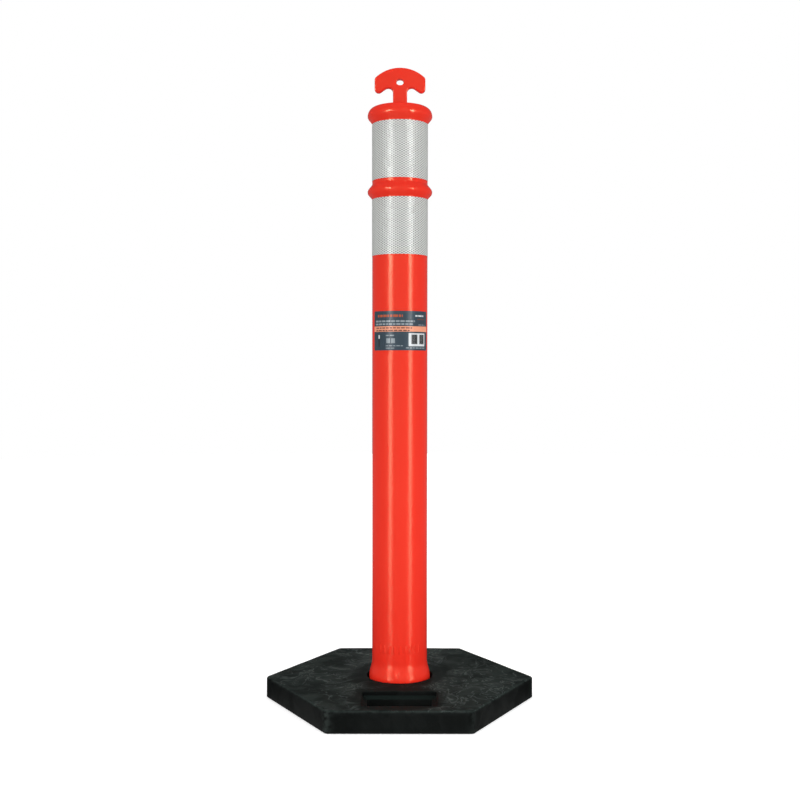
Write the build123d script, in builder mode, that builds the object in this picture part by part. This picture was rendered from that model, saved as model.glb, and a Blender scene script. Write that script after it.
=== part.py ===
"""Delineator post: a hollow moulded post with a T-handle, standing in a drop-over rubber base.

The origin is on the ground at the post's axis. +Z is up and -Y is the front, the side with the label.
The foot flange stands on the ground under the base, and the base lifts off over the top of the post.
"""

import os
from math import asin, cos, degrees, radians, sin, tan

from build123d import *

os.makedirs("parts", exist_ok=True)

# Post: the tube and its overall height
post_height = 1143.0
tube_diameter = 99.8
wall = 3.0

# Stop ring and collar: the bulges below and above the upper band
ring_diameter = 116.5
cone_height = 10.2  # the sloping side of each bulge, which faces the upper band
cone_root_radius = 5.0
cone_rim_radius = 7.5
ring_rim_height = 6.6
ring_round_height = 9.0  # the rounder side of the stop ring, over the lower band
ring_round_rim_radius = 9.0
ring_round_root_radius = 2.5
collar_drop = 100.9  # from the top of the handle down to where the collar leaves the tube
collar_rim_height = 3.8
shoulder_radius = 15.3
crown_radius = 198.0

# Foot: the flare that fills the base's hole, and the flange that the base stands on
foot_diameter = 110.6
flare_top = 64.9
flare_height = 19.8
flare_radius = 50.0
flange_diameter = 150.0
flange_thickness = 6.0
flange_root_radius = 4.0
flange_edge_radius = 1.5

# Row of plain moulded ribs on the front of the foot
rib_count = 9
rib_pitch_angle = 11.0
rib_width = 2.4
rib_height = 13.0
rib_bottom = 91.0
rib_projection = 0.8
rib_corner_radius = 0.9

# T-handle
handle_width = 91.8
handle_thickness = 12.0
handle_edge_radius = 2.5
handle_crown_radius = 65.0
handle_corner_radius = 6.5
lobe_radius = 7.4
lobe_slope = 35.3  # the fall of a lobe's underside, in degrees
finger_height = 36.5  # from the top of the handle down to the top of each finger gap
finger_flat = 11.2
finger_inner_radius = 7.9
finger_outer_radius = 9.0
stem_width = 25.6
stem_root_radius = 2.0
tie_hole_width = 13.2
tie_hole_height = 11.0
tie_hole_drop = 26.2  # from the top of the handle down to the middle of the hole
tie_hole_edge_radius = 0.5

# Reflective bands, and the tube left bare beside them
band_width = 101.6
band_thickness = 0.5
adhesive_thickness = 0.1  # under the bands and the label
band_lap = 12.0
upper_band_clearance = 1.5
ring_clearance_above = 6.5
ring_clearance_below = 1.2

# Label
label_width = 118.5
label_height = 70.0
label_thickness = 0.25
label_corner_radius = 2.3
label_turn = 3.3  # degrees round the tube from the front towards +X
label_drop = 100.7  # bare tube between the lower band and the label

# Base
base_across_flats = 423.5
base_thickness = 38.0
base_rise = 3.4  # from the top's outer edge up to the flat round the hole
base_rise_start_radius = 200.0
base_rise_end_radius = 70.0
base_corner_radius = 9.0
base_edge_radius = 4.5
base_foot_radius = 1.5
hole_clearance = 1.5  # between the hole and the widest ring that passes through it
hole_edge_radius = 1.5
flange_clearance = 2.0
seat_gap = 0.3
pocket_length = 128.0
pocket_depth = 77.5
grip_bar_width = 27.0
pocket_step = 4.4
ledge_width = 8.5
ledge_drop = 4.6
pocket_corner_radius = 5.0
opening_corner_radius = 4.0

# Worked out from the sizes above
tube_radius = tube_diameter / 2
ring_radius = ring_diameter / 2
foot_radius = foot_diameter / 2
adhesive_radius = tube_radius + adhesive_thickness
collar_bottom = post_height - collar_drop
upper_band_top = collar_bottom - upper_band_clearance
upper_band_bottom = upper_band_top - band_width
ring_top = upper_band_bottom - ring_clearance_above
ring_rim_top = ring_top - cone_height
ring_rim_bottom = ring_rim_top - ring_rim_height
ring_bottom = ring_rim_bottom - ring_round_height
lower_band_top = ring_bottom - ring_clearance_below
lower_band_bottom = lower_band_top - band_width
label_top = lower_band_bottom - label_drop
collar_rim_bottom = collar_bottom + cone_height
collar_rim_top = collar_rim_bottom + collar_rim_height
flare_bottom = flare_top - flare_height
base_hole_radius = ring_radius + hole_clearance
recess_radius = flange_diameter / 2 + flange_clearance
recess_depth = flange_thickness + seat_gap
pocket_middle = base_across_flats / 2 - grip_bar_width - pocket_depth / 2

# Outline of the moulding from the foot upwards, as (radius, height, corner radius)
flange_corners = [
    (flange_diameter / 2, flange_thickness, flange_edge_radius),
    (foot_radius, flange_thickness, flange_root_radius),
]
tube_corners = [
    (foot_radius, flare_bottom, flare_radius),
    (tube_radius, flare_top, flare_radius),
    (tube_radius, ring_bottom, ring_round_root_radius),
    (ring_radius, ring_rim_bottom, ring_round_rim_radius),
    (ring_radius, ring_rim_top, cone_rim_radius),
    (tube_radius, ring_top, cone_root_radius),
    (tube_radius, collar_bottom, cone_root_radius),
    (ring_radius, collar_rim_bottom, cone_rim_radius),
]


def crown_angle(half_width, corner, crown):
    """Half the angle of a crown arc that meets corner arcs drawn inside a width."""
    return asin((half_width - corner) / (crown - corner))


def crown_rise(half_width, corner, crown):
    """Height from where the corner arc starts up to the top of the crown arc."""
    return crown - (crown - corner) * cos(crown_angle(half_width, corner, crown))


def draw_side(start, corners, end):
    """Draw straight runs with rounded corners, from start to end, in a BuildLine."""
    points = [(x, z) for x, z, _ in corners]
    return FilletPolyline(start, *points, end, radius=[r for _, _, r in corners])


def close_crown(side, corner, crown, bottom):
    """Close a half outline, with a corner arc and a crown arc over to its middle line."""
    angle = degrees(crown_angle((side @ 1).X, corner, crown))
    corner_arc = JernArc(side @ 1, (0, 1), corner, 90 - angle)
    crown_arc = JernArc(corner_arc @ 1, corner_arc % 1, crown, angle)
    Line(crown_arc @ 1, (0, bottom))
    Line((0, bottom), side @ 0)


crown_top = collar_rim_top + crown_rise(ring_radius, shoulder_radius, crown_radius)
handle_side_top = post_height - crown_rise(handle_width / 2, handle_corner_radius, handle_crown_radius)
finger_top = post_height - finger_height
lobe_tip = finger_top - (handle_width / 2 - stem_width / 2 - finger_flat) * tan(radians(lobe_slope))
handle_corners = [
    (stem_width / 2, finger_top, finger_inner_radius),
    (stem_width / 2 + finger_flat, finger_top, finger_outer_radius),
    (handle_width / 2, lobe_tip, lobe_radius),
]


def draw_handle(bottom):
    """Draw the right half of the handle's outline, with its stem down to bottom, in a BuildLine."""
    side = draw_side((stem_width / 2, bottom), handle_corners, (handle_width / 2, handle_side_top))
    close_crown(side, handle_corner_radius, handle_crown_radius, bottom)


# Outlines of the moulding and of the hollow inside it
with BuildSketch(Plane.XZ) as moulding_outline:
    with BuildLine():
        moulding_side = draw_side(
            (flange_diameter / 2, 0), flange_corners + tube_corners, (ring_radius, collar_rim_top)
        )
        close_crown(moulding_side, shoulder_radius, crown_radius, 0)
    make_face()

with BuildSketch(Plane.XZ) as hollow_outline:
    with BuildLine():
        hollow_side = draw_side((foot_radius, -2 * wall), tube_corners, (ring_radius, collar_rim_top))
        close_crown(hollow_side, shoulder_radius, crown_radius, -2 * wall)
    make_face()
    mirror(about=Plane.YZ)
    offset(amount=-wall, mode=Mode.REPLACE)
    split(bisect_by=Plane.YZ)

with BuildSketch(Plane.XZ) as handle_outline:
    with BuildLine():
        draw_handle(crown_top - 2 * wall)
    make_face()
    mirror(about=Plane.YZ)

with BuildSketch(Plane.XZ) as tie_hole_outline:
    with Locations((0, post_height - tie_hole_drop)):
        SlotOverall(tie_hole_width, tie_hole_height)

with BuildSketch(Plane.XZ) as handle_hollow_outline:
    with BuildLine():
        draw_handle(crown_top - 3 * wall)
    make_face()
    mirror(about=Plane.YZ)
    offset(amount=-wall, mode=Mode.REPLACE)
    with Locations((0, post_height - tie_hole_drop)):
        SlotOverall(tie_hole_width + 2 * wall, tie_hole_height + 2 * wall, mode=Mode.SUBTRACT)


# T-handle: a flat plate, pierced by the tie hole, with rounded edges
with BuildPart() as handle:
    extrude(handle_outline.sketch, amount=handle_thickness / 2, both=True)
    fillet(handle.faces().filter_by(Axis.Y).edges(), handle_edge_radius)
    extrude(tie_hole_outline.sketch, amount=handle_thickness / 2, both=True, mode=Mode.SUBTRACT)
    tie_hole_rims = [
        edge
        for side in handle.faces().filter_by(Axis.Y)
        for rim in side.inner_wires()
        for edge in rim.edges()
    ]
    fillet(tie_hole_rims, tie_hole_edge_radius)


# Post: tube, stop ring, collar, crown, foot and handle, all one hollow moulding
rib_planes = []
for number in range(rib_count):
    rib_angle = radians((number - (rib_count - 1) / 2) * rib_pitch_angle)
    outwards = Vector(sin(rib_angle), -cos(rib_angle), 0)
    rib_planes.append(
        Plane(
            origin=outwards * (tube_radius - wall / 2) + Vector(0, 0, rib_bottom + rib_height / 2),
            x_dir=Vector(cos(rib_angle), sin(rib_angle), 0),
            z_dir=outwards,
        )
    )

with BuildPart() as post_body:
    revolve(moulding_outline.sketch, axis=Axis.Z)
    add(handle.part)
    stem_root = post_body.edges().filter_by_position(Axis.Z, crown_top - wall / 2, crown_top)
    fillet(stem_root, stem_root_radius)
    with BuildSketch(*rib_planes):
        RectangleRounded(rib_width, rib_height, rib_corner_radius)
    extrude(amount=wall / 2 + rib_projection)
    revolve(hollow_outline.sketch, axis=Axis.Z, mode=Mode.SUBTRACT)
    extrude(
        handle_hollow_outline.sketch,
        amount=handle_thickness / 2 - wall,
        both=True,
        mode=Mode.SUBTRACT,
    )
post_body.part.label = "post_body"
export_step(post_body.part, "parts/post_body.step")


# Reflective bands: sheeting wrapped once round the tube, lapped at the back
def make_band(label, bottom):
    """One band, from bottom upwards, written to its own file."""
    middle = bottom + band_width / 2
    with BuildPart() as band:
        with BuildSketch(Plane.YZ):
            with Locations((adhesive_radius + band_thickness / 2, middle)):
                Rectangle(band_thickness, band_width)
        revolve(axis=Axis.Z)
        with BuildSketch(Plane.YZ):
            with Locations((adhesive_radius + band_thickness * 1.5, middle)):
                Rectangle(band_thickness, band_width)
        revolve(axis=Axis.Z, revolution_arc=degrees(band_lap / adhesive_radius))
    band.part.label = label
    export_step(band.part, f"parts/{label}.step")


make_band("upper_reflective_band", upper_band_bottom)
make_band("lower_reflective_band", lower_band_bottom)


# Label: a printed sticker with rounded corners, part way round the front of the tube
label_arc = degrees(label_width / adhesive_radius)
label_start = radians(label_turn - 90 - label_arc / 2)
label_plane = Plane(
    origin=(0, 0, label_top - label_height / 2),
    x_dir=(cos(label_start), sin(label_start), 0),
    z_dir=(sin(label_start), -cos(label_start), 0),
)
with BuildPart() as product_label:
    with BuildSketch(label_plane):
        with Locations((adhesive_radius + label_thickness / 2, 0)):
            Rectangle(label_thickness, label_height)
    revolve(axis=Axis.Z, revolution_arc=label_arc)
    corners = product_label.edges().filter_by(GeomType.LINE).group_by(SortBy.LENGTH)[0]
    fillet(corners, label_corner_radius)
product_label.part.label = "product_label"
export_step(product_label.part, "parts/product_label.step")


# Grip pocket: the space cut from the base, about its own middle
with BuildPart() as grip_pocket:
    with BuildSketch(Plane.XY.offset(base_thickness + base_rise)):
        RectangleRounded(pocket_length, pocket_depth, pocket_corner_radius)
    extrude(amount=-base_rise - pocket_step)
    with BuildSketch(Plane.XY.offset(base_thickness - pocket_step)):
        RectangleRounded(pocket_length, pocket_depth, pocket_corner_radius)
    with BuildSketch(Plane.XY.offset(base_thickness - pocket_step - ledge_drop)):
        RectangleRounded(
            pocket_length - 2 * ledge_width,
            pocket_depth - 2 * ledge_width,
            opening_corner_radius,
        )
    loft()
    with BuildSketch():
        RectangleRounded(
            pocket_length - 2 * ledge_width,
            pocket_depth - 2 * ledge_width,
            opening_corner_radius,
        )
    extrude(amount=base_thickness - pocket_step - ledge_drop)


# Base: a hexagonal rubber slab, thicker at its middle, with a hole for the post, a recess for its
# flange and a grip
with BuildPart() as rubber_base:
    with BuildSketch() as slab:
        RegularPolygon(base_across_flats / 2, 6, major_radius=False)
        fillet(slab.vertices(), base_corner_radius)
    extrude(amount=base_thickness)
    fillet(rubber_base.faces().sort_by(Axis.Z)[-1].edges(), base_edge_radius)
    fillet(rubber_base.faces().sort_by(Axis.Z)[0].edges(), base_foot_radius)
    with Locations((0, 0, base_thickness + base_rise / 2)):
        Cone(base_rise_start_radius, base_rise_end_radius, base_rise)
    with Locations(rubber_base.faces().sort_by(Axis.Z)[0]):
        CounterBoreHole(base_hole_radius, recess_radius, recess_depth)
    hole_rim = rubber_base.faces().sort_by(Axis.Z)[-1].edges().filter_by(GeomType.CIRCLE)
    fillet(hole_rim.sort_by(SortBy.RADIUS)[0], hole_edge_radius)
    with Locations((0, -pocket_middle)):
        add(grip_pocket.part, mode=Mode.SUBTRACT)
rubber_base.part.label = "rubber_base"
export_step(rubber_base.part, "parts/rubber_base.step")
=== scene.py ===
"""Delineator post: the looks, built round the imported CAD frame.

The post is one hollow blow moulding with two bands of reflective sheeting and a printed label. It
stands in a drop-over rubber base. Sizes are in millimetres, and meshes are made in metres.
"""

import bmesh
import bpy
import numpy as np
from mathutils.geometry import delaunay_2d_cdt
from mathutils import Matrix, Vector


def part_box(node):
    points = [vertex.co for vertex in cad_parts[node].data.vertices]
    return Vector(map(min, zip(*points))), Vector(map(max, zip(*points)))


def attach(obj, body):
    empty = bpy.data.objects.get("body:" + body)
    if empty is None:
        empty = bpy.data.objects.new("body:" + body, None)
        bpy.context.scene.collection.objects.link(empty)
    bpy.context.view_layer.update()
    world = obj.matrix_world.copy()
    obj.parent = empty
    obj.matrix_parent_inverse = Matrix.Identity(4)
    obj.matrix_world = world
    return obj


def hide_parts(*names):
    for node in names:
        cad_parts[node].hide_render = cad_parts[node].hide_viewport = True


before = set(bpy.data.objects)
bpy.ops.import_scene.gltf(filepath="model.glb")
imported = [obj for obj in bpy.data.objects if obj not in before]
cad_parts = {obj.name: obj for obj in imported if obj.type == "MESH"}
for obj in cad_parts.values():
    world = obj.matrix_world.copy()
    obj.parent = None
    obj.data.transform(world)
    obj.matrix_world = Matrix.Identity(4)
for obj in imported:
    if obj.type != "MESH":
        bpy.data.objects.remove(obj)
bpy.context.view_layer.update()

MM = 0.001


# Post: one hollow moulding in low-density polyethylene, blown inside a mould from one tube of hot
# plastic. The rings, the collar and the foot are bulges of its wall, and the T-handle is its top,
# pinched flat. A fine parting line runs up both sides, where the halves of the mould met.
def rounded_path(corners, step, turn=6.0):
    """Points along a line of straight runs with rounded corners, and its direction at each.

    corners are rows of x, z and radius. An arc meets its runs at radius * tan(turn / 2) from the
    corner. Its points are start + radius * (sin(a) * way in + (1 - cos(a)) * towards its middle).
    Runs are divided evenly, so that no gap is longer than step.
    """
    corners = np.array(corners, float)
    places, radii = corners[:, :2], corners[:, 2]
    ways = np.diff(places, axis=0)
    ways /= np.linalg.norm(ways, axis=1)[:, None]
    points, directions = [places[:1]], [ways[:1]]
    for corner, radius, way_in, way_out in zip(places[1:-1], radii[1:-1], ways[:-1], ways[1:]):
        bend = np.arccos(np.clip(way_in @ way_out, -1, 1))
        side = np.sign(way_in[0] * way_out[1] - way_in[1] * way_out[0])
        count = int(np.ceil(max(np.degrees(bend) / turn, radius * bend / step, 1)))
        angle = np.linspace(0, bend, count + 1)[:, None]
        middle_way = side * np.array([-way_in[1], way_in[0]])
        start = corner - way_in * radius * np.tan(bend / 2)
        points.append(start + radius * (np.sin(angle) * way_in + (1 - np.cos(angle)) * middle_way))
        directions.append(np.cos(angle) * way_in + np.sin(angle) * middle_way)
    points, directions = np.vstack(points + [places[-1:]]), np.vstack(directions + [ways[-1:]])
    keep = np.append(np.linalg.norm(np.diff(points, axis=0), axis=1) > 1e-6, True)
    points, directions = points[keep], directions[keep]
    gaps = np.linalg.norm(np.diff(points, axis=0), axis=1)
    counts = np.where(gaps > step * 1.01, np.ceil(gaps / step), 1).astype(int)
    run = np.repeat(np.arange(len(counts)), counts)
    first_of_run = np.repeat(np.cumsum(counts) - counts, counts)
    share = ((np.arange(len(run)) - first_of_run) / counts[run])[:, None]
    before, after = points[run], points[run + 1]
    points = np.vstack([before * (1 - share) + after * share, points[-1:]])
    before, after = directions[run], directions[run + 1]
    directions = np.vstack([before * (1 - share) + after * share, directions[-1:]])
    return points, directions


def turned(profile, degrees_round, lift=0.0):
    """A grid of profile rows by turns: x = radius * sin(turn), y = -radius * cos(turn).

    profile has rows of radius and height, and lift is added to the radius.
    """
    angle = np.radians(degrees_round)[None, :]
    radius = profile[:, :1] + lift
    height = profile[:, 1:] + 0 * angle
    return np.stack([radius * np.sin(angle), -radius * np.cos(angle), height], axis=-1)


def grid_patch(grid, closed=False):
    """The points and quads of a grid, with its last column joined to its first if it is closed."""
    rows, columns = grid.shape[:2]
    row = np.arange(rows - 1)[:, None] * columns
    column = np.arange(columns if closed else columns - 1)[None, :]
    beside = (column + 1) % columns
    next_row = row + columns
    quads = np.stack([row + column, row + beside, next_row + beside, next_row + column], axis=-1)
    return grid.reshape(-1, 3), quads.reshape(-1, 4)


def inside(loops, points):
    """True for each point that lies inside an odd number of loops, by counting edges to its right."""
    crossings = np.zeros(len(points), int)
    for loop in loops:
        x0, y0 = loop.T
        x1, y1 = np.roll(loop, -1, axis=0).T
        spans = (y0 > points[:, 1:]) != (y1 > points[:, 1:])
        rise = np.where(y1 == y0, 1, y1 - y0)
        meets = x0 + (points[:, 1:] - y0) * (x1 - x0) / rise
        crossings += (spans & (points[:, :1] < meets)).sum(1)
    return crossings % 2 == 1


def flat_fill(loops, spacing):
    """Flat points and triangles that fill the first loop and leave the others open.

    Points stand inside on a staggered grid, and the triangles are Delaunay's, kept where their
    middles are inside.
    """
    edge_points = np.vstack(loops)
    low, high = edge_points.min(0), edge_points.max(0)
    row_gap = spacing * 0.866
    x, y = np.meshgrid(np.arange(low[0], high[0], spacing), np.arange(low[1], high[1], row_gap))
    x[::2] += spacing / 2
    grid = np.stack([x.ravel(), y.ravel()], axis=1)
    grid = grid[inside(loops, grid)]
    gap = np.array([np.hypot(*(edge_points - part).T).min() for part in grid])
    grid = grid[gap > spacing * 0.6]
    starts = np.cumsum([0] + [len(loop) for loop in loops[:-1]])
    edges = [
        np.stack([start + np.arange(len(loop)), start + np.roll(np.arange(len(loop)), -1)], axis=1)
        for start, loop in zip(starts, loops)
    ]
    places = np.vstack([edge_points, grid])
    made = delaunay_2d_cdt(places.tolist(), np.vstack(edges).tolist(), [], 0, 1e-7, False)
    points = np.array([tuple(p) for p in made[0]])
    triangles = np.array(made[2])
    return points, triangles[inside(loops, points[triangles].mean(1))]


def piece_from(name, patches, sharp=40.0, merge=2e-6):
    """One mesh object from patches of points in millimetres and faces, joined where they meet."""
    mesh = bpy.data.meshes.new(name)
    starts = np.cumsum([0] + [len(points) for points, _ in patches[:-1]])
    points = np.vstack([points for points, _ in patches]) * MM
    faces = [face for start, (_, part) in zip(starts, patches) for face in (part + start).tolist()]
    mesh.from_pydata(points.tolist(), [], faces)
    shape = bmesh.new()
    shape.from_mesh(mesh)
    bmesh.ops.remove_doubles(shape, verts=shape.verts, dist=merge)
    bmesh.ops.recalc_face_normals(shape, faces=shape.faces)
    shape.to_mesh(mesh)
    shape.free()
    mesh.polygons.foreach_set("use_smooth", np.ones(len(mesh.polygons), bool))
    mesh.set_sharp_from_angle(angle=np.radians(sharp))
    piece = bpy.data.objects.new(name, mesh)
    bpy.context.scene.collection.objects.link(piece)
    return piece


_, post_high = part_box("post_body")
upper_low, upper_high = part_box("upper_reflective_band")
lower_low, lower_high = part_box("lower_reflective_band")
post_top = post_high.z / MM
tube_radius = 49.9
ring_radius = 58.25
foot_radius = 55.3
wall = 3.0
flange_radius, flange_height = 75.0, 6.0
flare_bottom, flare_top, flare_round = 45.1, 64.9, 50.0
ring_top = upper_low.z / MM - 6.5
ring_bottom = lower_high.z / MM + 1.2
collar_bottom = upper_high.z / MM + 1.5
collar_rim_top = collar_bottom + 14.0
ring_slope, ring_round, ring_root_round = 9.0, 9.0, 2.5
bulge_slope, bulge_round, bulge_root_round = 10.2, 7.5, 5.0
shoulder_radius = 15.3
crown_radius = 198.0
shoulder_angle = np.arcsin((ring_radius - shoulder_radius) / (crown_radius - shoulder_radius))
crown_top = collar_rim_top + crown_radius - (crown_radius - shoulder_radius) * np.cos(shoulder_angle)
wall_corners = [
    (foot_radius, flare_bottom, flare_round),
    (tube_radius, flare_top, flare_round),
    (tube_radius, ring_bottom, ring_root_round),
    (ring_radius, ring_bottom + ring_slope, ring_round),
    (ring_radius, ring_top - bulge_slope, bulge_round),
    (tube_radius, ring_top, bulge_root_round),
    (tube_radius, collar_bottom, bulge_root_round),
    (ring_radius, collar_bottom + bulge_slope, bulge_round),
    (ring_radius, collar_rim_top, 0.0),
]
over = np.linspace(0, np.pi / 2 - shoulder_angle, 13)[1:, None]
shoulder = np.hstack([
    ring_radius - shoulder_radius + shoulder_radius * np.cos(over),
    collar_rim_top + shoulder_radius * np.sin(over),
])

# Row of plain ribs across the front of the foot, and the parting line at each side, as heights of
# the wall above its plain form
rib_turns = (np.arange(9) - 4) * 11.0
rib_half_width, rib_half_height, rib_middle, rib_projection, rib_edge = 1.2, 6.5, 97.5, 0.8, 0.6
parting_turns = np.array([-90.0, 90.0])
line_projection, line_half_width = 0.22, 0.45
relief_radius = 49.0
per_degree = np.radians(tube_radius)
rib_columns = np.array([-1.6, -1.35, -1.15, -0.9, -0.5, 0, 0.5, 0.9, 1.15, 1.35, 1.6]) / per_degree
parting_columns = np.array([-0.9, -0.4, 0, 0.4, 0.9]) / per_degree
fine_turns = np.append(rib_turns[:, None] + rib_columns, parting_turns[:, None] + parting_columns)
even_turns = np.arange(-180, 180, 3.0)
even_turns = even_turns[np.abs(even_turns[:, None] - fine_turns).min(1) > 0.8]
wall_turns = np.sort(np.append(fine_turns, even_turns))
upper_rows = np.array([3, 5.6, 6.2, 6.45, 6.65, 6.9, 8])
rib_rows = rib_middle + np.concatenate([-upper_rows[::-1], [0], upper_rows])


def wall_relief(turn, height):
    """Height of ribs and parting line: each falls smoothly to nothing across its own edge."""
    across = np.abs(turn[None, :, None] - rib_turns).min(-1) * per_degree
    beyond = np.maximum(across - rib_half_width, np.abs(height[:, None] - rib_middle) - rib_half_height)
    edge = np.clip(0.5 - beyond / rib_edge, 0, 1)
    ribs = rib_projection * edge * edge * (3 - 2 * edge)
    from_line = np.abs(np.abs(turn)[None, :] - 90) * per_degree
    above_flange = height[:, None] > flange_height + 2
    return ribs + line_projection * np.exp(-((from_line / line_half_width) ** 2)) * above_flange


flange_corners = [
    (foot_radius - wall, 0, 0),
    (flange_radius, 0, 0.6),
    (flange_radius, flange_height, 1.5),
    (foot_radius, flange_height, 4.0),
]
foot_path, _ = rounded_path(flange_corners + wall_corners, 12.0)
below, above = foot_path[:, 1] < rib_rows[0], foot_path[:, 1] > rib_rows[-1]
rib_path = np.stack([np.full(len(rib_rows), tube_radius), rib_rows], axis=1)
outer_path = np.vstack([foot_path[below], rib_path, foot_path[above], shoulder])
# One more row close to each tight round keeps the shading of the straight run beside it straight
round_gap, long_run, short_run = 0.3, 2.0, 1.5
runs = np.diff(outer_path, axis=0)
lengths = np.hypot(runs[:, 0], runs[:, 1])
after_round = np.flatnonzero((lengths[1:] > long_run) & (lengths[:-1] < short_run)) + 1
before_round = np.flatnonzero((lengths[:-1] > long_run) & (lengths[1:] < short_run))
short_way = round_gap * runs / lengths[:, None]
beside_rounds = np.vstack([
    outer_path[after_round] + short_way[after_round],
    outer_path[before_round + 1] - short_way[before_round],
])
row_places = np.concatenate([after_round, before_round]) + 1
outer_path = np.insert(outer_path, row_places, beside_rounds, axis=0)
relief = wall_relief(wall_turns, outer_path[:, 1]) * (outer_path[:, :1] > relief_radius)
outer_wall = turned(outer_path, wall_turns, relief)

hollow_path, hollow_ways = rounded_path([(foot_radius, 0, 0)] + wall_corners, 30.0, 12.0)
crown_over = np.linspace(shoulder_angle, 0, 12)[:, None]
crown_arc = np.hstack([np.sin(crown_over), np.cos(crown_over)])
hollow_normals = np.vstack([
    np.stack([hollow_ways[:, 1], -hollow_ways[:, 0]], axis=1),
    np.hstack([np.cos(over), np.sin(over)]),
    crown_arc[1:],
])
crown_middle = crown_top - crown_radius
hollow_path = np.vstack([hollow_path, shoulder, crown_radius * crown_arc[1:] + [0, crown_middle]])
inner_path = hollow_path - wall * hollow_normals
inner_path[-1, 0] = 0
inner_wall = turned(inner_path, wall_turns)

# T-handle: the outline of its right half, and the round of its edge as inset and depth
handle_side, handle_half_thickness, edge_radius = 45.9, 6.0, 2.5
stem_side, stem_start = 12.8, crown_top + 3.2
arch_width, finger_top, lobe_slope = 11.2, post_top - 36.5, 35.3
lobe_height = finger_top - (handle_side - stem_side - arch_width) * np.tan(np.radians(lobe_slope))
handle_corner, handle_crown = 6.5, 65.0
corner_angle = np.arcsin((handle_side - handle_corner) / (handle_crown - handle_corner))
side_top = post_top - handle_crown + (handle_crown - handle_corner) * np.cos(corner_angle)
right_side, right_ways = rounded_path(
    [
        (stem_side, stem_start, 0),
        (stem_side, finger_top, 7.9),
        (stem_side + arch_width, finger_top, 9.0),
        (handle_side, lobe_height, 7.4),
        (handle_side, side_top, 0),
    ],
    1.8,
)
turn_up = np.linspace(0, np.pi / 2 - corner_angle, 9)[1:, None]
over_top = np.linspace(np.pi / 2 - corner_angle, np.pi / 2, 26)[1:, None]
corner_across = handle_side - handle_corner + handle_corner * np.cos(turn_up)
top_up = post_top - handle_crown + handle_crown * np.sin(over_top)
right_side = np.vstack([
    right_side,
    np.hstack([corner_across, side_top + handle_corner * np.sin(turn_up)]),
    np.hstack([handle_crown * np.cos(over_top), top_up]),
])
right_ways = np.vstack([
    right_ways,
    np.hstack([-np.sin(turn_up), np.cos(turn_up)]),
    np.hstack([-np.sin(over_top), np.cos(over_top)]),
])
right_normals = np.stack([right_ways[:, 1], -right_ways[:, 0]], axis=1)
outline = np.vstack([right_side, right_side[-2::-1] * [-1, 1]])
outline_normals = np.vstack([right_normals, right_normals[-2::-1] * [-1, 1]])
round_off = np.radians(np.arange(0, 91, 15))
parting_height = 0.14
edge_inset = np.concatenate([
    edge_radius * (1 - np.sin(round_off)) + parting_height,
    [parting_height, 0, parting_height],
    edge_radius * (1 - np.cos(round_off)) + parting_height,
])
edge_depth = np.concatenate([
    -handle_half_thickness + edge_radius * (1 - np.cos(round_off)), [-0.5, 0, 0.5],
    handle_half_thickness - edge_radius * (1 - np.sin(round_off)),
])
flat_side = outline[:, None, :] - outline_normals[:, None, :] * edge_inset[None, :, None]
flat_depth = np.broadcast_to(edge_depth, flat_side.shape[:2])
edge_band = np.stack([flat_side[..., 0], flat_depth, flat_side[..., 1]], axis=-1)

# Root of the stem: a ball of this radius rolled round it, touching the stem and the crown
root_radius = 2.0
line_count = 12
side_x, side_y = stem_side - edge_inset, edge_depth
side_normals = np.stack([
    np.concatenate([np.sin(round_off), [1, 1, 1], np.cos(round_off)]),
    np.concatenate([-np.cos(round_off), [0, 0, 0], np.sin(round_off)]),
], axis=1)
line_x = np.linspace(side_x[-1], -side_x[-1], line_count + 2)[1:-1]
back_line = np.stack([line_x, np.full(line_count, handle_half_thickness)], axis=1)
right_loop = np.stack([side_x, side_y], axis=1)
stem_loop = np.vstack([right_loop, back_line, -right_loop, -back_line])
back_normals, front_normals = (np.tile([0.0, way], (line_count, 1)) for way in (1.0, -1.0))
stem_normals = np.vstack([side_normals, back_normals, -side_normals, front_normals])
ball = stem_loop + root_radius * stem_normals
ball_height = crown_middle + np.sqrt((crown_radius + root_radius) ** 2 - (ball**2).sum(1))
balls = np.hstack([ball, ball_height[:, None]])
to_stem = np.hstack([-stem_normals, np.zeros((len(ball), 1))])
to_crown = -(balls - [0, 0, crown_middle]) / (crown_radius + root_radius)
swing = np.arccos((to_stem * to_crown).sum(1))[None, :, None]
share = np.linspace(0, 1, 7)[:, None, None]
towards = np.sin((1 - share) * swing) * to_stem + np.sin(share * swing) * to_crown
root = balls + root_radius * towards / np.sin(swing)

count = len(right_loop)
right_root, left_root = root[0, :count], root[0, count + line_count : 2 * count + line_count][::-1]
edge_band = np.concatenate([right_root[None], edge_band, left_root[None]])
front_line = root[0, 2 * count + line_count :]
face_loop = np.vstack([edge_band[:, 0][:, [0, 2]], front_line[:, [0, 2]]])
hole_radius, hole_half_straight, hole_rim, hole_height = 5.5, 1.1, 0.5, post_top - 26.2
half_turn = np.arange(-90, 91, 7.5)
hole_turns = np.radians(np.append(half_turn, half_turn + 180))
hole_shift = np.repeat([hole_half_straight, -hole_half_straight], len(half_turn))
rim = hole_radius + hole_rim
hole_loop = np.stack([
    hole_shift + rim * np.cos(hole_turns),
    hole_height + rim * np.sin(hole_turns),
], axis=1)
face_points, face_triangles = flat_fill([face_loop, hole_loop], 2.2)
rim_turns = np.radians(np.arange(0, 91, 18))
rim_in, rim_out = 1 - np.sin(rim_turns), 1 - np.cos(rim_turns)
hole_radii = hole_radius + hole_rim * np.concatenate([rim_in, rim_out])
hole_depth = handle_half_thickness - hole_rim * np.concatenate([rim_out, rim_in])
hole_depth[: len(rim_turns)] *= -1
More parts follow.
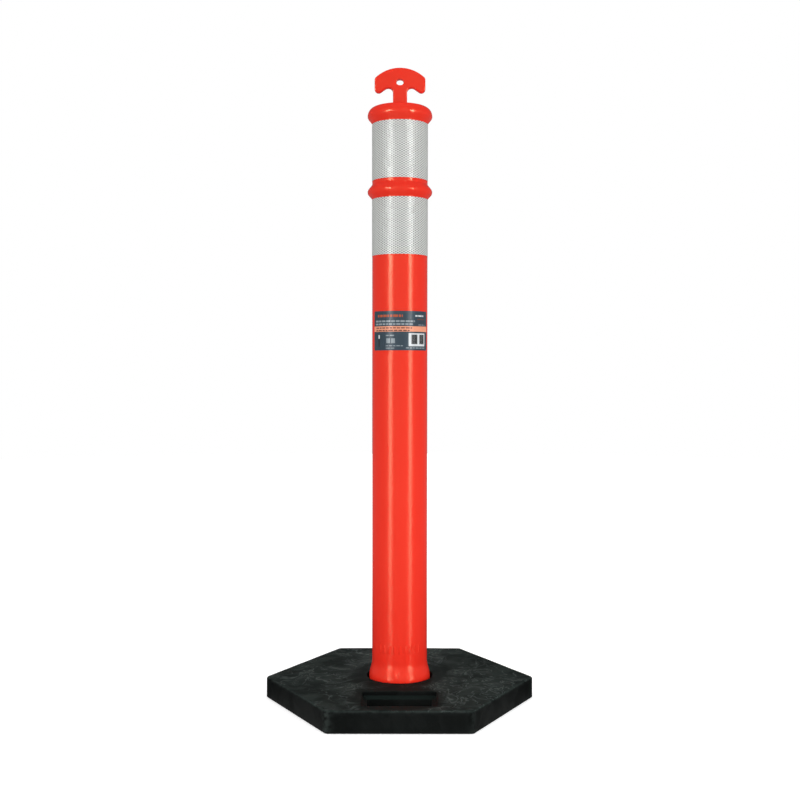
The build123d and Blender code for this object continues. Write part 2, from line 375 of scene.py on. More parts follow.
hole_wall = np.stack([
    hole_shift + hole_radii[:, None] * np.cos(hole_turns),
    np.broadcast_to(hole_depth[:, None], (len(hole_radii), len(hole_turns))),
    hole_height + hole_radii[:, None] * np.sin(hole_turns),
], axis=-1)


def handle_face(side):
    """The flat front (-1) or back (1) of the handle."""
    depth = np.full(len(face_points), side * handle_half_thickness)
    return np.stack([face_points[:, 0], depth, face_points[:, 1]], axis=1), face_triangles


crown_loop = outer_wall[-1, :, :2]
crown_points, crown_triangles = flat_fill([crown_loop, root[-1, :, :2]], 4.0)
crown_height = crown_middle + np.sqrt(crown_radius**2 - (crown_points**2).sum(1))
crown = np.hstack([crown_points, crown_height[:, None]]), crown_triangles

post_piece = piece_from(
    "post_moulding",
    [
        grid_patch(outer_wall, closed=True),
        grid_patch(inner_wall, closed=True),
        crown,
        grid_patch(root, closed=True),
        grid_patch(edge_band),
        handle_face(-1),
        handle_face(1),
        grid_patch(hole_wall, closed=True),
    ],
)


def colour(hex_code):
    """Linear colour with alpha from an sRGB hex code: ((c + 0.055) / 1.055) ** 2.4 above 0.04045."""
    c = np.array([int(hex_code[i : i + 2], 16) / 255 for i in (1, 3, 5)])
    return (*np.where(c > 0.04045, ((c + 0.055) / 1.055) ** 2.4, c / 12.92), 1.0)


def add(tree, kind, settings, inputs, output=0):
    """Add a node, give it its settings and its values or links, and return one of its outputs."""
    node = tree.nodes.new("ShaderNode" + kind)
    for name, value in settings.items():
        setattr(node, name, value)
    for name, value in inputs.items():
        if isinstance(value, bpy.types.NodeSocket):
            tree.links.new(value, node.inputs[name])
        else:
            node.inputs[name].default_value = value
    return node.outputs[output] if len(node.outputs) else node


def maths(tree, operation, *values):
    """A number worked out from one to three values or links by the named operation."""
    return add(tree, "Math", {"operation": operation}, dict(enumerate(values)))


def vectors(tree, operation, *values, output="Vector"):
    """A vector, or with output="Value" a length, worked out by the named operation."""
    return add(tree, "VectorMath", {"operation": operation}, dict(enumerate(values)), output)


def mixed(tree, share, first, second):
    """A colour: first * (1 - share) + second * share."""
    return add(tree, "Mix", {"data_type": "RGBA"}, {0: share, 6: first, 7: second}, 2)


def eased(tree, value, low, high, start=0.0, end=1.0):
    """Goes from start at low to end at high as 3 * t ** 2 - 2 * t ** 3, and stays there beyond."""
    run = {"Value": value, "From Min": low, "From Max": high, "To Min": start, "To Max": end}
    return add(tree, "MapRange", {"interpolation_type": "SMOOTHSTEP"}, run)


def new_finish(name):
    """An empty material, and its node tree."""
    finish = bpy.data.materials.new(name)
    finish.use_nodes = True
    finish.node_tree.nodes.clear()
    return finish, finish.node_tree


# Blow-moulded LDPE in fluorescent red-orange: the mould's blasted face leaves a satin gloss with a
# very fine orange peel, and the wall is never quite flat
post_finish, tree = new_finish("blow_moulded_ldpe")
place = add(tree, "TexCoord", {}, {}, "Object")
tone = add(tree, "TexNoise", {}, {"Vector": place, "Scale": 9.0, "Detail": 2.0})
orange = mixed(tree, tone, colour("#E4281A"), colour("#E92C1D"))
peel = add(tree, "TexNoise", {}, {"Vector": place, "Scale": 700.0, "Detail": 1.0})
swell = add(tree, "TexNoise", {}, {"Vector": place, "Scale": 45.0, "Detail": 1.0})
peel_bump = add(tree, "Bump", {}, {"Strength": 0.05, "Distance": 0.0004, "Height": peel})
post_bump = add(
    tree, "Bump", {}, {"Strength": 0.03, "Distance": 0.0015, "Height": swell, "Normal": peel_bump}
)
gloss = add(tree, "MapRange", {}, {"Value": tone, "To Min": 0.19, "To Max": 0.23})
shader = add(
    tree,
    "BsdfPrincipled",
    {},
    {
        "Base Color": orange,
        "Roughness": gloss,
        "IOR": 1.51,
        "Specular IOR Level": 0.44,
        "Specular Tint": (1.0, 0.95, 0.6, 1.0),
        "Normal": post_bump,
    },
)
add(tree, "OutputMaterial", {}, {"Surface": shader})

post_piece.data.materials.append(post_finish)
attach(post_piece, "post")
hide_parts("post_body")


# Reflective bands: white prismatic sheeting with an adhesive back, 4 in wide, wrapped once round
# the tube and lapped 12 mm at the back. Its cells are sealed along a diamond lattice.
sheet_gap, sheet_thickness, sheet_edge, sheet_lap = 0.1, 0.5, 0.1, 12.0
lap_start = 172
sheet_radius = tube_radius + sheet_gap
lap_turn = np.degrees(sheet_lap / sheet_radius)


def sheet_map(piece, values):
    """Store the sheet's own millimetres, along and up, as a UV map."""
    corner_points = np.zeros(len(piece.data.loops), int)
    piece.data.loops.foreach_get("vertex_index", corner_points)
    piece.data.uv_layers.new(name="sheet").data.foreach_set("uv", values[corner_points].ravel())


def wrapped_band(name, bottom, top):
    """A strip wound once round: its radius rises by its own thickness just before it laps."""
    turns = np.concatenate([np.arange(-180, lap_start, 3.0), np.linspace(lap_start, 180 + lap_turn, 14)])
    rise = np.clip((turns - lap_start) / (180 - lap_start), 0, 1)
    climb = sheet_thickness * rise * rise * (3 - 2 * rise)
    height = top - bottom
    face, eased_edge = sheet_thickness, sheet_thickness - sheet_edge
    section_out = np.array([0, eased_edge, face, face, eased_edge, 0])
    section_up = np.array([0, 0, sheet_edge, height - sheet_edge, height, height])
    radius = sheet_radius + climb[:, None] + section_out
    angle = np.radians(turns)[:, None]
    up = np.broadcast_to(bottom + section_up, radius.shape)
    strip = np.stack([radius * np.sin(angle), -radius * np.cos(angle), up], axis=-1)
    points, quads = grid_patch(strip, closed=True)
    piece = piece_from(name, [(points, quads)], merge=0)
    along = np.broadcast_to(sheet_radius * angle, radius.shape)
    values = np.stack([along.ravel(), (up - bottom).ravel()], axis=1)
    sheet_map(piece, values)
    shape = bmesh.new()
    shape.from_mesh(piece.data)
    bmesh.ops.holes_fill(shape, edges=[e for e in shape.edges if e.is_boundary], sides=8)
    bmesh.ops.recalc_face_normals(shape, faces=shape.faces)
    shape.to_mesh(piece.data)
    shape.free()
    return piece


# White prismatic sheeting: a glossy clear film over tiny corner cubes, grey to the eye by day. The
# lattice's lines run 30 degrees off level, and are darkest where they cross.
cell_width, cell_height = 7.2, 4.2
sheet_finish, tree = new_finish("prismatic_sheeting")
sheet_place = add(tree, "UVMap", {"uv_map": "sheet"}, {})
cells = vectors(tree, "MULTIPLY", sheet_place, (2 * np.pi / cell_width, 2 * np.pi / cell_height, 0))
split = add(tree, "SeparateXYZ", {}, {"Vector": cells}).node
rising = maths(tree, "ADD", split.outputs[0], split.outputs[1])
falling = maths(tree, "SUBTRACT", split.outputs[0], split.outputs[1])
rising_wave = maths(tree, "COSINE", rising)
falling_wave = maths(tree, "COSINE", falling)
waves = maths(tree, "ADD", rising_wave, falling_wave)
seal = eased(tree, waves, 0.1, 1.5)
sheet_colour = mixed(tree, seal, colour("#CBCDCA"), colour("#575C59"))
seal_bump = add(tree, "Bump", {"invert": True}, {"Strength": 0.15, "Distance": 0.0002, "Height": seal})
shader = add(
    tree,
    "BsdfPrincipled",
    {},
    {
        "Base Color": sheet_colour,
        "Metallic": 0.1,
        "Roughness": 0.36,
        "IOR": 1.5,
        "Specular IOR Level": 0.18,
        "Normal": seal_bump,
    },
)
add(tree, "OutputMaterial", {}, {"Surface": shader})

for name, low, high in (
    ("upper_reflective_band", upper_low, upper_high),
    ("lower_reflective_band", lower_low, lower_high),
):
    band_piece = wrapped_band(name.replace("reflective", "prismatic"), low.z / MM, high.z / MM)
    band_piece.data.materials.append(sheet_finish)
    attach(band_piece, "post")
    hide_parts(name)


# Label: a printed film sticker, slate with a salmon stripe, wrapped part way round the front. Its
# words are left out: plain bars stand in their rows, with a plain picture of a post and a panel of
# upright bars.
label_low, label_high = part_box("product_label")
label_bottom, label_height = label_low.z / MM, (label_high.z - label_low.z) / MM
label_width, label_thickness, label_turn, label_corner = 118.5, 0.25, 3.3, 2.3
label_half = label_width / 2


def word_row(start, end, low, high, ink, seed):
    """A row of bars as long as words, between start and end."""
    lengths = np.random.default_rng(seed).uniform(3.5, 9.0, 40)
    starts = start + np.concatenate([[0], np.cumsum(lengths + 1.5)[:-1]])
    ends = np.minimum(starts + lengths, end)
    return [(a, b, low, high, ink) for a, b in zip(starts, ends) if b - a > 1.2]


slate, salmon, white, grey, brown, black, amber = range(7)
draw = np.random.default_rng(4)


def upright_bars(start, end):
    """Edges of thin upright bars and gaps that fill start to end."""
    widths = draw.uniform(0.6, 1.2, 11) * np.resize([1.85, 0.15], 11)
    return start + np.append(0, np.cumsum(widths)) * (end - start) / widths.sum()


panel_bars = np.append(upright_bars(18.4, 30.6), upright_bars(35.6, 47.6))
label_print = (
    [(-label_half, label_half, 33.2, 42.9, salmon)]
    + word_row(-47.5, 2.3, 59.2, 63.3, amber, 11)
    + word_row(26.2, 46.4, 60.0, 62.7, white, 12)
    + word_row(30.6, 51.1, 54.3, 56.1, brown, 13)
    + word_row(-53.5, 25.5, 50.2, 53.2, grey, 14)
    + word_row(-53.5, 21.1, 45.1, 47.9, grey, 15)
    + word_row(33.2, 50.4, 44.7, 46.0, grey, 16)
    + word_row(-52.1, 19.6, 38.7, 40.8, brown, 17)
    + word_row(-52.1, 15.3, 34.1, 36.3, brown, 18)
    + [(-45.8, -42.6, 21.0, 27.4, white), (-45.6, -42.9, 6.4, 21.0, black)]
    + word_row(-28.8, -12.1, 25.6, 27.4, grey, 19)
    + [(-27.8, -20.4, 12.7, 21.2, grey), (-18.5, -11.5, 12.7, 21.2, grey)]
    + word_row(-28.8, 2.5, 7.3, 8.8, grey, 20)
    + word_row(-28.8, -10.2, 3.2, 4.6, grey, 21)
    + [(13.0, 50.3, 7.4, 30.4, white)]
    + [(a, b, 11.1, 28.1, black) for a, b in zip(panel_bars[:-1:2], panel_bars[1::2])]
    + word_row(8.1, 50.4, 3.4, 5.1, grey, 22)
)
round_rows = label_corner * (1 - np.cos(np.radians([0, 15, 30, 45, 60, 75, 90])))
column_edges = np.unique(np.concatenate([
    np.arange(-label_half, label_half + 0.1, 4.0), np.ravel([bar[:2] for bar in label_print])
]).round(3))
row_edges = np.unique(np.concatenate([
    round_rows, label_height - round_rows, np.ravel([bar[2:4] for bar in label_print])
]).round(3))
from_end = np.minimum(row_edges, label_height - row_edges)
corner_reach = np.clip(label_corner - from_end, 0, None)
row_half = label_half - label_corner + np.sqrt(label_corner**2 - corner_reach**2)
label_along = column_edges[None, :] * (row_half / label_half)[:, None]
label_angle = np.radians(label_turn) + label_along / sheet_radius
label_up = np.broadcast_to(row_edges[:, None], label_angle.shape)


def label_sheet(radius):
    """One face of the sticker: turn = its middle + distance along / radius of the tube."""
    across, back_from_front = radius * np.sin(label_angle), -radius * np.cos(label_angle)
    return np.stack([across, back_from_front, label_bottom + label_up], axis=-1)


front, back = label_sheet(sheet_radius + label_thickness), label_sheet(sheet_radius)
every, first_of, last_of = slice(None), slice(0, 1), slice(-1, None)
around = [(first_of, every), (every, last_of), (last_of, every), (every, first_of)]
edges = [
    grid_patch(np.stack([front[part].reshape(-1, 3), back[part].reshape(-1, 3)]))
    for part in around
]
label_piece = piece_from("printed_label", [grid_patch(front), grid_patch(back)] + edges)
middles = np.zeros(len(label_piece.data.polygons) * 3)
label_piece.data.polygons.foreach_get("center", middles)
middles = middles.reshape(-1, 3) / MM
along = (np.degrees(np.arctan2(middles[:, 0], -middles[:, 1])) - label_turn) * np.radians(sheet_radius)
up = middles[:, 2] - label_bottom
outer_face = np.hypot(middles[:, 0], middles[:, 1]) > sheet_radius + label_thickness * 0.6
inks = np.full(len(middles), slate)
for left, right, low, high, ink in label_print:
    stretch = np.interp(up, row_edges, row_half) / label_half
    covered = (along > left * stretch) & (along < right * stretch) & (up > low) & (up < high)
    inks[covered & outer_face] = ink
label_piece.data.polygons.foreach_set("material_index", inks)


def printed_film(name, hex_code):
    """Ink under a clear film: the ink's colour with a trace of the press's unevenness."""
    finish, tree = new_finish(name)
    place = add(tree, "TexCoord", {}, {}, "Object")
    grain = add(tree, "TexNoise", {}, {"Vector": place, "Scale": 260.0, "Detail": 2.0})
    shade = add(tree, "MapRange", {}, {"Value": grain, "To Min": 0.9, "To Max": 1.06})
    blend = {"data_type": "RGBA", "blend_type": "MULTIPLY"}
    ink = add(tree, "Mix", blend, {0: 1.0, 6: colour(hex_code), 7: shade}, 2)
    film = {"Base Color": ink, "Roughness": 0.3, "IOR": 1.5, "Specular IOR Level": 0.4}
    shader = add(tree, "BsdfPrincipled", {}, film)
    add(tree, "OutputMaterial", {}, {"Surface": shader})
    return finish


for name, hex_code in (
    ("slate_ink", "#33434E"),
    ("salmon_ink", "#E89878"),
    ("white_ink", "#D2D6D8"),
    ("grey_ink", "#8E989E"),
    ("brown_ink", "#6E4436"),
    ("black_ink", "#232426"),
    ("amber_ink", "#B5502A"),
):
    label_piece.data.materials.append(printed_film(name, hex_code))
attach(label_piece, "post")
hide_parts("product_label")


# Base: a hexagonal slab of recycled rubber crumb, pressed hot in a steel mould. It drops over the
# post onto its foot flange, and has one grip pocket with a through slot at its front.
base_low, base_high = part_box("rubber_base")
base_rise, rise_start, rise_end = 3.4, 200.0, 70.0
base_middle_top = base_high.z / MM
base_top = base_middle_top - base_rise
across_flats = (base_high.y - base_low.y) / MM
upright_round, under_round, top_round = 9.0, 1.5, 4.5
recess_radius, recess_height, bore_radius, bore_rim = 77.0, 6.3, 59.75, 1.5
vertex_turns = np.radians(np.arange(-60, 301, 60))
vertices = across_flats / np.sqrt(3) * np.stack([np.cos(vertex_turns), np.sin(vertex_turns)], axis=1)
first = (vertices[0] + vertices[-2]) / 2
hex_corners = [(*first, 0)] + [(*v, upright_round) for v in vertices[:-1]] + [(*first, 0)]
hex_path, hex_ways = rounded_path(hex_corners, 6.0, 9.0)
hex_path, hex_ways = hex_path[:-1], hex_ways[:-1]
hex_normals = np.stack([hex_ways[:, 1], -hex_ways[:, 0]], axis=1)
side_corners = [
    (under_round, 0, 0),
    (0, 0, under_round),
    (0, base_top, top_round),
    (top_round, base_top, 0),
]
side_section, _ = rounded_path(side_corners, 5.0, 15.0)
side_ring = hex_path[None] - hex_normals[None] * side_section[:, :1, None]
side_up = np.broadcast_to(side_section[:, 1:2, None], side_ring.shape[:2] + (1,))
sides = np.concatenate([side_ring, side_up], axis=2)

bore_section, _ = rounded_path(
    [
        (recess_radius, 0, 0),
        (recess_radius, recess_height, 0.5),
        (bore_radius, recess_height, 0.8),
        (bore_radius, base_middle_top, bore_rim),
        (bore_radius + bore_rim, base_middle_top, 0),
    ],
    6.0,
    15.0,
)
bore = turned(bore_section, np.arange(0, 360, 4.0))

pocket_half = np.array([64.0, 38.75])
ledge_width, pocket_wall, ledge_depth, lip_round, slot_foot = 8.5, 4.4, 9.0, 1.0, 0.8
slot_half = pocket_half - ledge_width
pocket_corner, slot_corner, grip_bar = 5.0, 4.0, 27.0
pocket_middle = across_flats / 2 - grip_bar - pocket_half[1]
pocket_ends = [(0, -pocket_half[1], 0)]
pocket_corners = pocket_ends + [
    (x * pocket_half[0], y * pocket_half[1], pocket_corner)
    for x, y in ((1, -1), (1, 1), (-1, 1), (-1, -1))
] + pocket_ends
pocket_path, pocket_ways = rounded_path(pocket_corners, 5.0, 12.0)
pocket_path, pocket_ways = pocket_path[:-1], pocket_ways[:-1]
pocket_normals = np.stack([pocket_ways[:, 1], -pocket_ways[:, 0]], axis=1)
core = pocket_path - pocket_corner * pocket_normals
slot_core = core * (slot_half - slot_corner) / (pocket_half - pocket_corner)
slot_path = slot_core + slot_corner * pocket_normals
pocket_section, _ = rounded_path(
    [
        (-lip_round, base_top, 0),
        (0, base_top, lip_round),
        (0, base_top - pocket_wall, 1.0),
        (ledge_width, base_top - ledge_depth, 1.6),
        (ledge_width, 0, slot_foot),
        (ledge_width - slot_foot, 0, 0),
    ],
    6.0,
    15.0,
)
inwards = np.clip(pocket_section[:, 0] / ledge_width, 0, 1)[:, None, None]
spread = np.minimum(pocket_section[:, 0], 0)[:, None, None]
pocket_ring = pocket_path * (1 - inwards) + slot_path * inwards - pocket_normals * spread
pocket_ring = pocket_ring - [0, pocket_middle]


def rise_at(points):
    """How far the top stands above its outer edge: it climbs evenly between the two radii."""
    from_axis = np.hypot(points[..., 0], points[..., 1])
    return base_rise * np.clip((rise_start - from_axis) / (rise_start - rise_end), 0, 1)


near_top = np.clip((pocket_section[:, 1] - base_top + pocket_wall) / pocket_wall, 0, 1)[:, None]
pocket_up = pocket_section[:, 1][:, None] + near_top * rise_at(pocket_ring)
pocket = np.concatenate([pocket_ring, pocket_up[..., None]], axis=2)


def slab_face(row, height, spacing):
    """The top (row -1, or 0 of the pocket) or underside of the slab, open at its holes."""
    loops = [sides[row, :, :2], bore[row, :, :2], pocket[-1 - row, :, :2]]
    points, triangles = flat_fill(loops, spacing)
    heights = height + (rise_at(points) if row else 0 * points[:, 0])
    return np.hstack([points, heights[:, None]]), triangles


base_piece = piece_from(
    "pressed_rubber_base",
    [grid_patch(ring, closed=True) for ring in (sides, bore, pocket)]
    + [slab_face(-1, base_top, 5.0), slab_face(0, 0.0, 14.0)],
)

# The slab shrinks unevenly as it cools: waves of 35 to 140 mm sink its surface by no more than the
# deepest sink, and die out towards its underside
draw = np.random.default_rng(21)
wave_count = 18
even_sink, sink_swing, deepest_sink, fade_height = 0.15, 0.6, 0.35, 12
wave_turns = draw.uniform(0, 2 * np.pi, wave_count)
wave_lengths = draw.uniform(35, 140, wave_count)
wave_starts = draw.uniform(0, 2 * np.pi, wave_count)
wave_ways = np.stack([np.cos(wave_turns), np.sin(wave_turns), 0.3 * np.sin(wave_starts)])
wave_ways = wave_ways * 2 * np.pi / wave_lengths
base_mesh = base_piece.data
places, normals = np.zeros(len(base_mesh.vertices) * 3), np.zeros(len(base_mesh.vertices) * 3)
base_mesh.vertices.foreach_get("co", places)
base_mesh.vertices.foreach_get("normal", normals)
places, normals = places.reshape(-1, 3) / MM, normals.reshape(-1, 3)
ripple = np.sin(places @ wave_ways + wave_starts).mean(1)
depth = np.clip(even_sink + sink_swing * ripple, 0, deepest_sink) * np.clip(places[:, 2] / fade_height, 0, 1)
base_mesh.vertices.foreach_set("co", ((places - normals * depth[:, None]) * MM).ravel())
base_mesh.update()

# Painted highlights pale the top's outer edge and the upright corners: each fades over its own few
# millimetres
edge_place, edge_fade, edge_share = 1.3, 2.5, 0.45
corner_place, corner_fade, corner_depth = 0.985, 7.0, 6
flat_turns = np.radians(np.arange(30, 360, 60))
flats = np.stack([np.cos(flat_turns), np.sin(flat_turns)])
within = across_flats / 2 - (places[:, :2] @ flats).max(1)
from_edge = np.hypot(within - edge_place, base_top - edge_place - places[:, 2])
top_edge_highlight = np.exp(-((from_edge / edge_fade) ** 2))
corner_gaps = np.hypot(*(places[:, None, :2] - (vertices[:-1] * corner_place)[None]).transpose(2, 0, 1))
corner_share = np.array([0.3, 0.45, 0.4, 0.45, 0.4, 0.75])[corner_gaps.argmin(1)]
corner_highlight = corner_share * np.exp(-((corner_gaps.min(1) / corner_fade) ** 2)) * (within < corner_depth)
painted_edge_highlight = base_mesh.attributes.new("painted_edge_highlight", "FLOAT", "POINT")
painted_edge_highlight.data.foreach_set("value", np.clip(edge_share * top_edge_highlight + corner_highlight, 0, 1))

# Pressed recycled rubber: near black and matt. Its top has cloudy patches, 40 mm or so across, and
# clusters of thin pale curls where the crumb flowed. The top is painted lighter than the sides, as lit
# and shaded copies of the rubber. Round the hole it is smoother and darker as a painted shadow of the
# post, and round the pocket it is smoother and darker too.
base_finish, tree = new_finish("pressed_recycled_rubber")
place = add(tree, "TexCoord", {}, {}, "Object")
facing = add(tree, "NewGeometry", {}, {}, "Normal")
facing_up = add(tree, "SeparateXYZ", {}, {"Vector": facing}, 2)
on_top = eased(tree, facing_up, 0.35, 0.85)
flat_place = vectors(tree, "MULTIPLY", place, (1.0, 1.0, 0.0))
from_axis = vectors(tree, "LENGTH", flat_place, output="Value")
drift = add(tree, "TexNoise", {}, {"Vector": place, "Scale": 12.0, "Detail": 2.0}, "Color")
drift = vectors(tree, "SUBTRACT", drift, (0.5, 0.5, 0.5))
pushed = add(tree, "VectorMath", {"operation": "SCALE"}, {0: drift, "Scale": 0.1})
flow_place = vectors(tree, "ADD", place, pushed)
cloud = add(
    tree,
    "TexNoise",
    {},
    {"Vector": flow_place, "Scale": 17.0, "Detail": 3.0, "Roughness": 0.5, "Distortion": 0.6},
)
cloud = eased(tree, cloud, 0.36, 0.66)
# Painted shadow of the post round the hole, with no curls; round the pocket the top is darker too
foot_shade_edge = maths(tree, "MULTIPLY_ADD", cloud, 0.03, from_axis)
beyond_dark_zones = eased(tree, foot_shade_edge, 0.095, 0.128)
from_pocket = vectors(tree, "ADD", place, (0.0, pocket_middle * MM, 0.0))
from_pocket = vectors(tree, "MULTIPLY", from_pocket, (1 / 0.085, 1 / 0.075, 0.0))
from_pocket = vectors(tree, "LENGTH", from_pocket, output="Value")
from_pocket = maths(tree, "MULTIPLY_ADD", cloud, 0.15, from_pocket)
beyond_pocket = eased(tree, from_pocket, 0.92, 1.12)
beyond_dark_zones = maths(tree, "MULTIPLY", beyond_dark_zones, beyond_pocket)
curl_place = vectors(tree, "MULTIPLY", flow_place, (0.8, 0.7, 1.0))
curl = add(
    tree,
    "TexNoise",
    {},
    {"Vector": curl_place, "Scale": 31.0, "Detail": 2.5, "Roughness": 0.5, "Distortion": 2.0},
)
curl = maths(tree, "SUBTRACT", curl, 0.5)
curl = maths(tree, "ABSOLUTE", curl)
curl = eased(tree, curl, 0.0, 0.036, 1.0, 0.0)
cluster = add(tree, "TexNoise", {}, {"Vector": place, "Scale": 15.0, "Detail": 1.0})
cluster = eased(tree, cluster, 0.30, 0.60)
marks = maths(tree, "MULTIPLY", curl, cluster)
marks = maths(tree, "MULTIPLY", marks, beyond_dark_zones)
marks = maths(tree, "MULTIPLY", marks, on_top)
# Painted light and shade: upward faces get a lighter, lit copy of the rubber and the sides a darker, shaded
# one
shaded_side_tone = mixed(tree, cloud, colour("#080B0A"), colour("#0E1110"))
lit_top_tone = mixed(tree, cloud, colour("#141C1A"), colour("#212A27"))
lit_top_tone = mixed(tree, beyond_dark_zones, colour("#101917"), lit_top_tone)
rubber = mixed(tree, on_top, shaded_side_tone, lit_top_tone)
mark_share = maths(tree, "MULTIPLY", marks, 0.42)
rubber = mixed(tree, mark_share, rubber, colour("#5A6461"))
# Painted highlight on the rounded top edge and upright corners, broken up by grain
edge_highlight_share = add(tree, "Attribute", {"attribute_name": "painted_edge_highlight"}, {}, "Fac")
highlight_grain = add(tree, "TexNoise", {}, {"Vector": place, "Scale": 90.0, "Detail": 3.0})
highlight_grain = eased(tree, highlight_grain, 0.34, 0.60)
edge_highlight_share = maths(tree, "MULTIPLY", edge_highlight_share, highlight_grain)
rubber = mixed(tree, edge_highlight_share, rubber, colour("#2E3432"))
crumb = add(tree, "TexNoise", {}, {"Vector": place, "Scale": 420.0, "Detail": 2.0})
crumb_bump = add(tree, "Bump", {}, {"Strength": 0.2, "Distance": 0.0004, "Height": crumb})
flow_bump = add(
    tree, "Bump", {}, {"Strength": 0.25, "Distance": 0.0015, "Height": cloud, "Normal": crumb_bump}
)
mark_bump = add(
    tree, "Bump", {}, {"Strength": 0.4, "Distance": 0.0006, "Height": marks, "Normal": flow_bump}
)
rubber_gloss = add(tree, "MapRange", {}, {"Value": cloud, "To Min": 0.86, "To Max": 0.74})
shader = add(
    tree,
    "BsdfPrincipled",
    {},
    {
        "Base Color": rubber,
        "Roughness": rubber_gloss,
        "IOR": 1.52,
        "Specular IOR Level": 0.08,
        "Normal": mark_bump,
    },
)
add(tree, "OutputMaterial", {}, {"Surface": shader})

base_piece.data.materials.append(base_finish)
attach(base_piece, "base")
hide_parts("rubber_base")


# Studio: a pale floor that fades into a white room
floor_section = np.array([[0.01, -0.5], [600, -0.5], [1200, -0.5], [6000, -0.5]])
floor_grid = turned(floor_section, np.arange(0, 360, 6.0))
floor_piece = piece_from("floor", [grid_patch(floor_grid, closed=True)])
floor_finish, tree = new_finish("painted_floor")
rays = add(tree, "LightPath", {}, {}).node
seen = maths(tree, "ADD", rays.outputs["Is Camera Ray"], rays.outputs["Is Glossy Ray"])
clamped_sum = {"operation": "ADD", "use_clamp": True}
seen = add(tree, "Math", clamped_sum, {0: seen, 1: rays.outputs["Is Transmission Ray"]})
place = add(tree, "TexCoord", {}, {}, "Object")
reach = vectors(tree, "LENGTH", place, output="Value")
fade = eased(tree, reach, 0.5, 1.3, 0.42, 1.0)
glow = maths(tree, "MULTIPLY", seen, fade)
paint = add(tree, "BsdfDiffuse", {}, {"Color": colour("#E8E8E8")})
light_back = add(tree, "Emission", {}, {"Color": (1, 1, 1, 1), "Strength": glow})
both = add(tree, "AddShader", {}, {0: paint, 1: light_back})
add(tree, "OutputMaterial", {}, {"Surface": both})
floor_piece.data.materials.append(floor_finish)

world = bpy.data.worlds.new("white_room")
bpy.context.scene.world = world
world.use_nodes = True
tree = world.node_tree
tree.nodes.clear()
sky = add(tree, "Background", {}, {"Color": (1, 1, 1, 1), "Strength": 1.0})
add(tree, "OutputWorld", {}, {"Surface": sky})


# Grey flats stand all round and lie on the floor, out of sight: only the shine on the object shows
# them. They darken towards the foot and overhead, and the front ones are paler than the side ones.
def shine_only(piece, near, near_glow, far, far_glow, climb):
    """A flat that only reflections see.

    Its glow runs evenly from near_glow to far_glow as the distance from the middle of the floor,
    times 1 - climb, plus the height, times climb, goes from near to far. From 1.2 to 2.4 m up it
    falls to two fifths.
    """
    finish, tree = new_finish(piece.name + "_glow")
    place = add(tree, "TexCoord", {}, {}, "Object")
    height = add(tree, "SeparateXYZ", {}, {"Vector": place}, 2)
    distance = vectors(tree, "LENGTH", place, output="Value")
    up = maths(tree, "MULTIPLY", height, climb)
    run = maths(tree, "MULTIPLY_ADD", distance, 1.0 - climb, up)
    outwards = {"From Min": near, "From Max": far, "To Min": near_glow, "To Max": far_glow}
    upwards = {"From Min": 1.2, "From Max": 2.4, "To Min": 1.0, "To Max": 0.4}
    strength = add(tree, "MapRange", {}, {"Value": run, **outwards})
    overhead = add(tree, "MapRange", {}, {"Value": height, **upwards})
    strength = maths(tree, "MULTIPLY", strength, overhead)
    glow = add(tree, "Emission", {}, {"Color": (1, 1, 1, 1), "Strength": strength})
    add(tree, "OutputMaterial", {}, {"Surface": glow})
    piece.data.materials.append(finish)
    piece.visible_camera = piece.visible_diffuse = False
    piece.visible_shadow = piece.visible_transmission = False


flat_start, flat_radius, flat_top = 250.0, 2300.0, 2600.0
flat_section, _ = rounded_path(
    [(flat_start, 0.5, 0), (flat_radius, 0.5, 0), (flat_radius, flat_top, 0), (1.0, flat_top, 0)], 250.0
)
front_flat = piece_from("front_flat", [grid_patch(turned(flat_section, np.arange(-60, 61, 5.0)))])
shine_only(front_flat, near=0.3, near_glow=0.10, far=2.2, far_glow=0.42, climb=0.0)
side_flats = piece_from("side_flats", [grid_patch(turned(flat_section, np.arange(60, 301, 5.0)))])
shine_only(side_flats, near=0.3, near_glow=0.02, far=2.2, far_glow=0.20, climb=0.0)

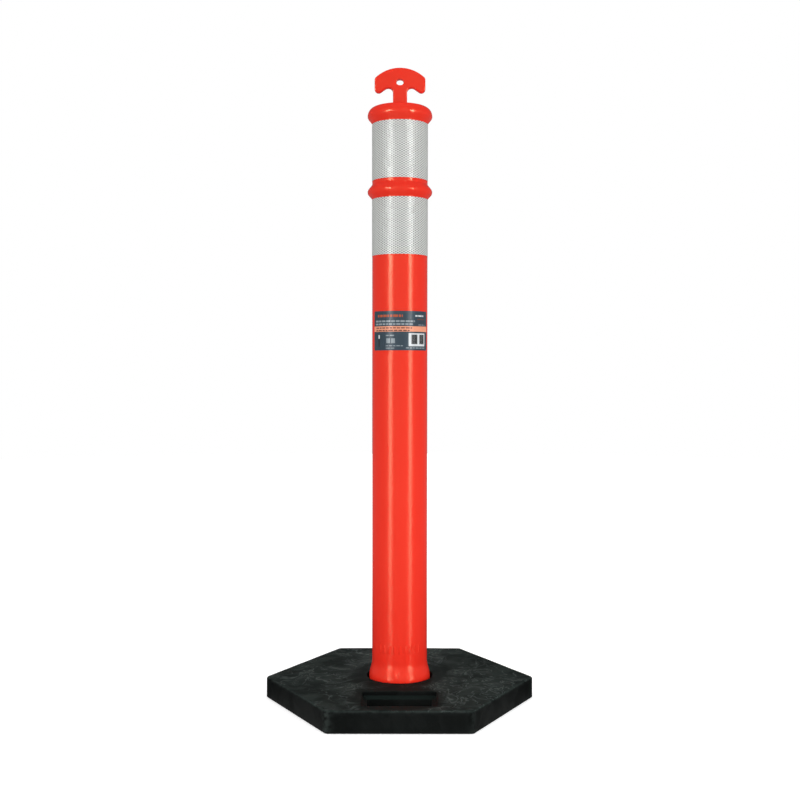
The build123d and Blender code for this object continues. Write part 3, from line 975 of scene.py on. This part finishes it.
# Two tall strip lights in front and one behind, also seen only in the shine, brighter towards their
# tops. The black slats of a louvre, 36 mm deep and 12 mm apart, keep their glow within 18 degrees or
# so of level. They are set for the front: from behind, their glints whiten the outline of the rings.
strip_radius, slat_start, slat_end, slat_gap = 430.0, 389.0, 425.0, 12.0
strip_half_turn, slat_half_turn, turn_step = 7.0, 9.8, 1.4
for name, turn, top, top_glow in (
    ("left", -37.4, 1210.0, 38.0),
    ("right", 42.0, 1210.0, 38.0),
    ("back", 180.0, 850.0, 9.0),
):
    strip_turns = turn + np.arange(-strip_half_turn, strip_half_turn + 0.1, turn_step)
    strip_section = np.array([[strip_radius, 1.0], [strip_radius, top]])
    strip = piece_from(name + "_strip", [grid_patch(turned(strip_section, strip_turns))])
    shine_only(strip, near=0.70, near_glow=9.0, far=1.22, far_glow=top_glow, climb=1.0)
    slat_turns = turn + np.arange(-slat_half_turn, slat_half_turn + 0.1, turn_step)
    slats = [
        grid_patch(turned(np.array([[slat_start, up], [slat_end, up]]), slat_turns))
        for up in np.arange(10.0, top + 1.0, slat_gap)
    ]
    louvre = piece_from(name + "_louvre", slats)
    shine_only(louvre, near=0.0, near_glow=0.0, far=1.0, far_glow=0.0, climb=1.0)


def soft_light(name, place, aim, size, power, spread=180.0):
    """A rectangular lamp at place, facing aim, with its beam spread over so many degrees."""
    lamp = bpy.data.lights.new(name, "AREA")
    lamp.shape = "RECTANGLE"
    lamp.size, lamp.size_y = size
    lamp.energy = power
    lamp.spread = np.radians(spread)
    holder = bpy.data.objects.new(name, lamp)
    holder.location = place
    way = Vector(aim) - Vector(place)
    holder.rotation_euler = way.to_track_quat("-Z", "Y").to_euler()
    holder.visible_camera = holder.visible_glossy = False
    bpy.context.scene.collection.objects.link(holder)


soft_light("top_light", (0, 0.0, 2.6), (0, 0, 0), (1.8, 1.8), 5.0)
soft_light("right_light", (1.6, -0.8, 0.9), (0, 0, 0.6), (0.6, 1.4), 2.0)
soft_light("left_low_light", (-0.5, -0.65, 0.15), (0, 0, 0.05), (0.3, 0.2), 0.6)
soft_light("right_low_light", (0.5, -0.65, 0.15), (0, 0, 0.05), (0.3, 0.2), 1.3)
soft_light("foot_light", (-0.15, -1.2, 0.3), (0, 0, 0.02), (0.3, 0.1), 0.036, 16.0)
soft_light("high_light", (0.2, -0.55, 1.2), (0, 0, 1.12), (0.2, 0.2), 0.3)

# Camera
camera = bpy.data.cameras.new("camera")
camera.sensor_width = 36.0
camera.lens = 50.40
holder = bpy.data.objects.new("camera", camera)
holder.location = (0.0004, -2.037, 0.5974)
holder.rotation_euler = (np.radians(90 - 1.509), np.radians(-0.05), 0)
camera.clip_start, camera.clip_end = 0.05, 50.0
bpy.context.scene.collection.objects.link(holder)
bpy.context.scene.camera = holder
bpy.context.scene.view_settings.view_transform = "Standard"
